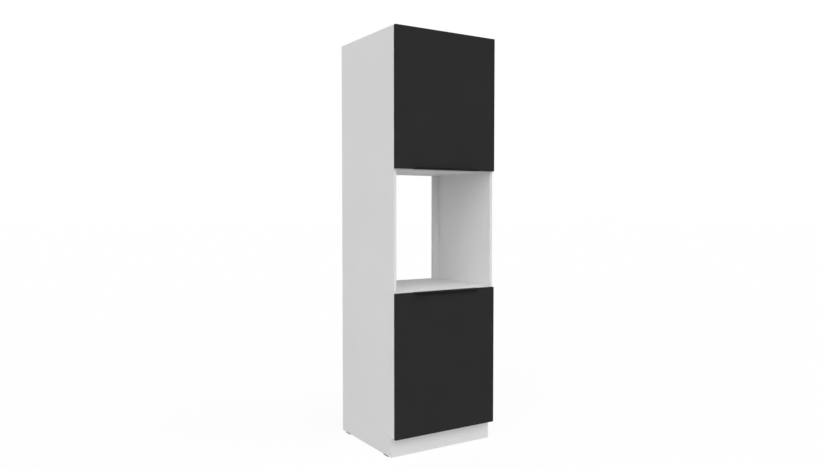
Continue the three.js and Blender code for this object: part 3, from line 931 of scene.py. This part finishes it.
def long_lever(mesh):
    both_sides(mesh, bowed_outline(LONG_PIVOT, LONG_PIN, LONG_BOW), "long")
    both_sides(mesh, slot_outline(LONG_PIVOT, BAR_PLACE, BAR_RADIUS), "long", rim=0.15 * MM)
    reach = layer("long")[1]
    pin(mesh, BAR_RADIUS, -reach, reach, (*BAR_PLACE, 0))
    dome = [(0, -DOME_ROOT), (DOME_RADIUS, -DOME_ROOT), (DOME_RADIUS, 0),
            (DOME_RADIUS * 0.8, DOME_RISE * 0.7), (DOME_RADIUS * 0.4, DOME_RISE * 0.95),
            (0, DOME_RISE)]
    for side in (1, -1):
        profile = [(radius, side * height) for radius, height in dome]
        turned(mesh, profile, (*LONG_PIVOT, side * reach), sides=20)


lever_data = {"short_lever": shape("short_lever", short_lever, nickel),
              "long_lever": shape("long_lever", long_lever, nickel)}

# %% Levers on their bodies
for name in hinge_names:
    door = name.split("_")[0]
    place = (door_edge_x, front_y, hinge_heights[name])
    for lever, data in lever_data.items():
        put(name + "_" + lever + "_stamped", data, door + "_" + lever + "s", place,
            instead_of=[name + "_" + lever])
print("levers placed:", 2 * len(hinge_names))

# %% [markdown]
# ## Cup
# The cup is deep-drawn: one disc of sheet, pressed into a pot, with a flat flange that
# lies on the door's back and two ears for its screws. The pot is turned from its
# profile with a rounded floor, as drawing leaves it. The ears are a stamped slot shape.
# Inside are the fork and the pins that the levers turn on.

# %% Cup with its flange and ears
CUP_MIDDLE = -20.5 * MM
CUP_RADIUS = 17.5 * MM
CUP_DEPTH = 11.5 * MM
CUP_WALL = 1.2 * MM
CUP_FLOOR = 1.0 * MM
CUP_INNER = CUP_RADIUS - CUP_WALL
OUTER_CORNER = 2.2 * MM
INNER_CORNER = 1.2 * MM
DOOR_BACK = door_back_y - front_y
POT_FLOOR = DOOR_BACK - CUP_DEPTH
FLANGE = 0.8 * MM
FLANGE_RADIUS = 19 * MM


def cup_profile():
    """(radius, height) points: up the outside, over the flange and down the inside."""
    mouth = DOOR_BACK + FLANGE
    low, inside_floor = POT_FLOOR, POT_FLOOR + CUP_FLOOR
    outside = arc((CUP_RADIUS - OUTER_CORNER, low + OUTER_CORNER), OUTER_CORNER, -90, 0, 6)
    flange = [(CUP_RADIUS, DOOR_BACK), (FLANGE_RADIUS, DOOR_BACK),
              (FLANGE_RADIUS, mouth - 0.3 * MM), (FLANGE_RADIUS - 0.2 * MM, mouth - 0.08 * MM),
              (FLANGE_RADIUS - 0.5 * MM, mouth)]
    lip = [(CUP_INNER + 0.5 * MM, mouth), (CUP_INNER + 0.12 * MM, mouth - 0.15 * MM),
           (CUP_INNER, mouth - 0.6 * MM)]
    inside = arc((CUP_INNER - INNER_CORNER, inside_floor + INNER_CORNER), INNER_CORNER,
                 0, -90, 6)
    return [(0, low)] + outside + flange + lip + inside + [(0, inside_floor)]


print("cup: radius", CUP_RADIUS, "depth", CUP_DEPTH, "profile points", len(cup_profile()))

# %% Ears of the cup
EAR_X = CUP_MIDDLE - 9.5 * MM
EAR_Z = 22.5 * MM
EAR_RADIUS = 6 * MM
EAR_OVERLAP = 0.3 * MM


def edge_of_pot(u, radius):
    across = u - CUP_MIDDLE
    return math.sqrt(max(radius ** 2 - across ** 2, 0))


def cup_ears(mesh):
    """The slot shape crosses the mouth, so only its two ends outside the pot are kept."""
    kept_from = CUP_RADIUS - EAR_OVERLAP
    start = edge_of_pot(EAR_X - EAR_RADIUS, kept_from) + 4 * MM
    for side in (1, -1):
        end = slot_outline((EAR_X, start), (EAR_X, EAR_Z), EAR_RADIUS, steps=20)
        points = [(u, side * max(v, edge_of_pot(u, kept_from))) for u, v in end]
        stamped(mesh, points, DOOR_BACK, DOOR_BACK + FLANGE, turn=along_y)


print("ears reach", round((EAR_Z + EAR_RADIUS) / MM, 1), "mm from the middle")

# %% Fork and pins in the cup, and the whole cup
PIN_RADIUS = 1.0 * MM
FORK_HALF = 1.7 * MM
FORK_FOOT = (SHORT_PIN[0] - 2 * MM, POT_FLOOR + 1.9 * MM)


def cup_insides(mesh):
    both_sides(mesh, slot_outline(SHORT_PIN, FORK_FOOT, FORK_HALF), "fork", rim=0.2 * MM)
    reach = edge_of_pot(LONG_PIN[0], CUP_INNER) + 0.4 * MM
    for side in (1, -1):
        low, high = sorted((side * layer("long")[0], side * reach))
        pin(mesh, PIN_RADIUS, low, high, (*LONG_PIN, 0))
    fork = layer("fork")[1]
    pin(mesh, PIN_RADIUS, -fork, fork, (*SHORT_PIN, 0))


def whole_cup(mesh):
    turned(mesh, cup_profile(), (CUP_MIDDLE, 0, 0), sides=72, axis="y")
    cup_ears(mesh)
    cup_insides(mesh)


cup_data = shape("hinge_cup", whole_cup, nickel)

# %% Cups and their screws on the doors
for name in hinge_names:
    door = name.split("_")[0] + "_door"
    z = hinge_heights[name]
    put(name + "_cup_drawn", cup_data, door, (door_edge_x, front_y, z),
        instead_of=[name + "_cup"])
    for end, side in (("upper", 1), ("lower", -1)):
        put(name + "_cup_screw_" + end, screws["flange_screw"], door,
            (door_edge_x + EAR_X, door_back_y + FLANGE - 0.2 * MM, z + side * EAR_Z),
            (-90, 0, 0))
print("cups placed:", len(hinge_names))

# %% [markdown]
# ## Arm and plate
# The arm is a channel of thicker sheet: a web that runs straight at the nose and then
# slopes towards the side panel, and a cheek on either side. Two screws with cross slots
# adjust the door, and their heads lie in the web. The plate under it has two wings that
# are screwed to the side panel, and a ridge that the arm is clamped to. In section and
# plan both are the frame's own; here they get rounded folds and turned screws.

# %% Plan of the arm
SIDE_FACE = low_corner("side_panel_right").x - door_edge_x
PLATE = 2.5 * MM
FRONT_END = 14.76 * MM
SLOPE_START = 24.76 * MM
TAIL = 60.76 * MM
WEB_IN = -48.1 * MM
WEB_OUT = -49.6 * MM
DROP = 14 * MM
CHEEK_SLOPE = 14 * MM
NOSE_PAST = 5 * MM
FOOT = SIDE_FACE - PLATE - 0.5 * MM


def web_outside_at(y):
    slope = DROP / (TAIL - SLOPE_START)
    return WEB_OUT + max(0.0, slope * (y - SLOPE_START))


cheek_plan = [(WEB_OUT, FRONT_END), (LONG_PIVOT[0] + NOSE_PAST, FRONT_END),
              (FOOT, FRONT_END + CHEEK_SLOPE), (FOOT, TAIL), (WEB_OUT + DROP, TAIL),
              (WEB_OUT, SLOPE_START)]
web_plan = [(WEB_OUT, FRONT_END), (WEB_IN, FRONT_END), (WEB_IN, SLOPE_START),
            (WEB_IN + DROP, TAIL), (WEB_OUT + DROP, TAIL), (WEB_OUT, SLOPE_START)]
print("the arm is", round((TAIL - FRONT_END) / MM, 1), "mm long")

# %% Rounded corners for an outline


CORNER_STEPS = 5
MOST_OF_A_SIDE = 0.45


def round_corners(points, radius):
    """Replaces each corner of an outline by a short curve."""
    made = []
    for before, here, after in zip(points[-1:] + points, points, points[1:] + points[:1]):
        before, here, after = Vector(before), Vector(here), Vector(after)
        into, out = here - before, after - here
        cut = min(radius, into.length * MOST_OF_A_SIDE, out.length * MOST_OF_A_SIDE)
        start, end = here - into.normalized() * cut, here + out.normalized() * cut
        for k in range(CORNER_STEPS + 1):
            t = k / CORNER_STEPS
            made.append(tuple(start * (1 - t) ** 2 + here * 2 * t * (1 - t) + end * t ** 2))
    return made


print("points of a rounded cheek:", len(round_corners(cheek_plan, 1.2 * MM)))

# %% Arm with its nose, pins and the shanks of its adjusting screws
ADJUSTERS = {"front": 30.66 * MM, "rear": 49.66 * MM}
ADJUSTER_SEAT = 0.2 * MM
SHANK_RADIUS = 2.4 * MM
SHANK_START = 0.6 * MM
RIDGE_TOP = SIDE_FACE - PLATE - 9 * MM
NOSE_HALF = 2.2 * MM
WEB_INSET = 0.6 * MM


def adjuster_rim(y):
    """Where the rim of an adjusting screw's head lies, across from the door's edge."""
    radius = SCREWS["adjusting_screw"][0][0] * MM
    return web_outside_at(y - radius) + ADJUSTER_SEAT


def hinge_arm(mesh):
    both_sides(mesh, round_corners(cheek_plan, 1.2 * MM), "arm", rim=0.35 * MM)
    reach, fork = layer("arm")[1], layer("fork")[1]
    stamped(mesh, web_plan, WEB_INSET - reach, reach - WEB_INSET, rim=0.1 * MM)
    web_middle = ((WEB_IN + WEB_OUT) / 2, LONG_PIVOT[1])
    for start, end in ((web_middle, LONG_PIVOT), (LONG_PIVOT, SHORT_PIVOT)):
        both_sides(mesh, slot_outline(start, end, NOSE_HALF), "fork", rim=0.2 * MM)
    pin(mesh, PIN_RADIUS, -reach, reach, (*LONG_PIVOT, 0))
    pin(mesh, PIN_RADIUS, -fork, fork, (*SHORT_PIVOT, 0))
    for y in ADJUSTERS.values():
        pin(mesh, SHANK_RADIUS, adjuster_rim(y) + SHANK_START, RIDGE_TOP, (0, y, 0), "x",
            sides=24)


arm_data = shape("hinge_arm", hinge_arm, nickel)

# %% Arms and their adjusting screws on the carcass
for name in hinge_names:
    put(name + "_arm_folded", arm_data, "carcass",
        (door_edge_x, front_y, hinge_heights[name]), instead_of=[name + "_arm"])
    for row, y in ADJUSTERS.items():
        put(name + "_adjusting_screw_" + row, screws["adjusting_screw"], "carcass",
            (door_edge_x + adjuster_rim(y), front_y + y, hinge_heights[name]), (0, -90, 0))
print("arms placed:", len(hinge_names))

# %% Mounting plate
WING_Y = 37 * MM
WING_Z = 16 * MM
WING_RADIUS = 8.5 * MM
PLATE_RIM = 0.6 * MM
RIDGE_START = 25.66 * MM
RIDGE_LENGTH = 36 * MM
RIDGE_HALF = 6.8 * MM
RIDGE_SUNK = 1 * MM
STRIP_PAST = 5 * MM


def ridge_outline(past, corner):
    """A bar's outline that goes past either end of the ridge by a given length."""
    y0, y1 = RIDGE_START - past, RIDGE_START + RIDGE_LENGTH + past
    bar = [(y0, -RIDGE_HALF), (y1, -RIDGE_HALF), (y1, RIDGE_HALF), (y0, RIDGE_HALF)]
    return round_corners(bar, corner)


def mounting_plate(mesh):
    foot = SIDE_FACE - PLATE
    wings = slot_outline((WING_Y, -WING_Z), (WING_Y, WING_Z), WING_RADIUS, steps=20)
    stamped(mesh, wings, foot, SIDE_FACE, turn=along_x, rim=PLATE_RIM, rounds=3)
    strip = ridge_outline(STRIP_PAST, 2 * MM)
    stamped(mesh, strip, foot, SIDE_FACE, turn=along_x, rim=PLATE_RIM)
    ridge = ridge_outline(0, 1.5 * MM)
    stamped(mesh, ridge, RIDGE_TOP, SIDE_FACE - RIDGE_SUNK, turn=along_x, rim=PLATE_RIM)


plate_data = shape("mounting_plate", mounting_plate, nickel)

# %% Plates and their screws on the side panel
for name in hinge_names:
    z = hinge_heights[name]
    put(name + "_plate_cast", plate_data, "carcass", (door_edge_x, front_y, z),
        instead_of=[name + "_plate"])
    for end, side in (("upper", 1), ("lower", -1)):
        put(name + "_plate_screw_" + end, screws["plate_screw"], "carcass",
            (door_edge_x + SIDE_FACE - PLATE, front_y + WING_Y, z + side * WING_Z),
            (0, -90, 0))
print("plates placed:", len(hinge_names))

# %% [markdown]
# ## Light
# The picture shows a white cabinet evenly lit on white, with no hard shadow. The front
# edges are the brightest, the side panel a little darker, and the niche falls off
# towards its rear and its ceiling. So the strongest light comes from soft boxes in
# front, at three heights on the left and at one on the right, with weaker fills from
# the sides and the back. They could be area lamps. Here each is a soft lobe of
# brightness on the world itself: it can't cast a hard shadow and adds no noise. A lobe
# is the cosine of the angle to its middle, raised to a power: the higher the power, the
# tighter it is. To the camera, to gloss and through glass the world is plain white.

# %% Rays that see the plain backdrop
PLAIN_FOR = ("Is Camera Ray", "Is Glossy Ray", "Is Transmission Ray")


def seen_or_mirrored(tree):
    """1 for rays from the camera, from gloss and through glass."""
    rays = node(tree, "ShaderNodeLightPath")
    value = rays.outputs[PLAIN_FOR[0]]
    for kind in PLAIN_FOR[1:]:
        either = node(tree, "ShaderNodeMath", operation="MAXIMUM")
        tree.links.new(value, either.inputs[0])
        tree.links.new(rays.outputs[kind], either.inputs[1])
        value = either.outputs["Value"]
    return value


print("plain white for:", PLAIN_FOR)

# %% Soft boxes and the empty world
# name, turn from the front (left is minus), height above level, power, brightness
SOFT_BOXES = [
    ("front left", -45, 30, 6, 1.62),
    ("front right", 45, 30, 6, 1.84),
    ("front left, low", -45, 8, 10, 0.50),
    ("front left, high", -45, 60, 8, 0.73),
    ("left", -90, 0, 2, 0.74),
    ("right, high", 90, 45, 4, 0.15),
    ("right", 90, 0, 2, 0.25),
    ("back", 180, 30, 3, 0.32),
]
world = bpy.data.worlds.new("studio")
bpy.context.scene.world = world
world.use_nodes = True
sky = world.node_tree
backdrop = sky.nodes["Background"]
backdrop.inputs["Color"].default_value = (1, 1, 1, 1)
print("soft boxes:", len(SOFT_BOXES))

# %% One soft box as a lobe of brightness


def lobe(tree, way, turn, height, power, brightness):
    """Brightness of one soft box in the direction that a ray looks."""
    turn, height = math.radians(turn), math.radians(height)
    middle = (math.sin(turn) * math.cos(height), -math.cos(turn) * math.cos(height),
              math.sin(height))
    cosine = node(tree, "ShaderNodeVectorMath", operation="DOT_PRODUCT")
    cosine.inputs[1].default_value = middle
    tree.links.new(way, cosine.inputs[0])
    value = cosine.outputs["Value"]
    for operation, number in (("MAXIMUM", 0.0), ("POWER", power), ("MULTIPLY", brightness)):
        step = node(tree, "ShaderNodeMath", operation=operation)
        step.inputs[1].default_value = number
        tree.links.new(value, step.inputs[0])
        value = step.outputs["Value"]
    return value


for name, *_, power, _ in SOFT_BOXES:
    half_way = math.degrees(math.acos(0.5 ** (1 / power)))
    print(name, "falls to half at", round(half_way), "degrees")

# %% All soft boxes together
# numbers of the Mix node's sockets for plain values
NUMBER_A, NUMBER_B, NUMBER_RESULT = 2, 3, 0
way = node(sky, "ShaderNodeTexCoord").outputs["Generated"]
total = None
for name, *numbers in SOFT_BOXES:
    value = lobe(sky, way, *numbers)
    if total is not None:
        add = node(sky, "ShaderNodeMath", operation="ADD")
        sky.links.new(total, add.inputs[0])
        sky.links.new(value, add.inputs[1])
        value = add.outputs["Value"]
    total = value
level = node(sky, "ShaderNodeMix", data_type="FLOAT")
level.inputs[NUMBER_B].default_value = 1.0
sky.links.new(seen_or_mirrored(sky), level.inputs["Factor"])
sky.links.new(total, level.inputs[NUMBER_A])
sky.links.new(level.outputs[NUMBER_RESULT], backdrop.inputs["Strength"])
print("nodes in the world:", len(sky.nodes))

# %% [markdown]
# ## Floor
# The floor gives back light like a pale studio floor. To the camera it is nearly white:
# most of that is a glow that only camera, gloss and glass rays see, and the rest is
# true diffuse paint, so a soft trace of the cabinet's shadow stays.

# %% Finish of the floor
FLOOR_TONE = 0.60
FLOOR_SHOWN = 0.12
FLOOR_GLOW = 0.897


def studio_floor():
    finish = bpy.data.materials.new("studio_floor")
    finish.use_nodes = True
    tree = finish.node_tree
    tree.nodes.clear()
    real = node(tree, "ShaderNodeBsdfDiffuse")
    real.inputs["Color"].default_value = (*grey(FLOOR_TONE), 1)
    faint = node(tree, "ShaderNodeBsdfDiffuse")
    faint.inputs["Color"].default_value = (*grey(FLOOR_SHOWN), 1)
    glow = node(tree, "ShaderNodeEmission")
    glow.inputs["Strength"].default_value = FLOOR_GLOW
    shown = node(tree, "ShaderNodeAddShader")
    tree.links.new(faint.outputs["BSDF"], shown.inputs[0])
    tree.links.new(glow.outputs["Emission"], shown.inputs[1])
    mix = node(tree, "ShaderNodeMixShader")
    tree.links.new(seen_or_mirrored(tree), mix.inputs[0])
    tree.links.new(real.outputs["BSDF"], mix.inputs[1])
    tree.links.new(shown.outputs["Shader"], mix.inputs[2])
    out = node(tree, "ShaderNodeOutputMaterial")
    tree.links.new(mix.outputs["Shader"], out.inputs["Surface"])
    return finish


floor_finish = studio_floor()
print("floor tone", FLOOR_TONE, "glow", FLOOR_GLOW)

# %% Floor sheet
FLOOR_HALF = 60.0


def floor_sheet(mesh):
    corners = ((-1, -1), (1, -1), (1, 1), (-1, 1))
    mesh.faces.new([mesh.verts.new((x * FLOOR_HALF, y * FLOOR_HALF, 0)) for x, y in corners])


floor_data = shape("studio_floor_sheet", floor_sheet, floor_finish)
floor = bpy.data.objects.new("studio_floor", floor_data)
bpy.context.scene.collection.objects.link(floor)
print("floor", [round(v, 1) for v in floor.dimensions])

# %% [markdown]
# ## Picture settings
# The standard view keeps colours as they are written.

# %% Finish
bpy.context.scene.view_settings.view_transform = "Standard"
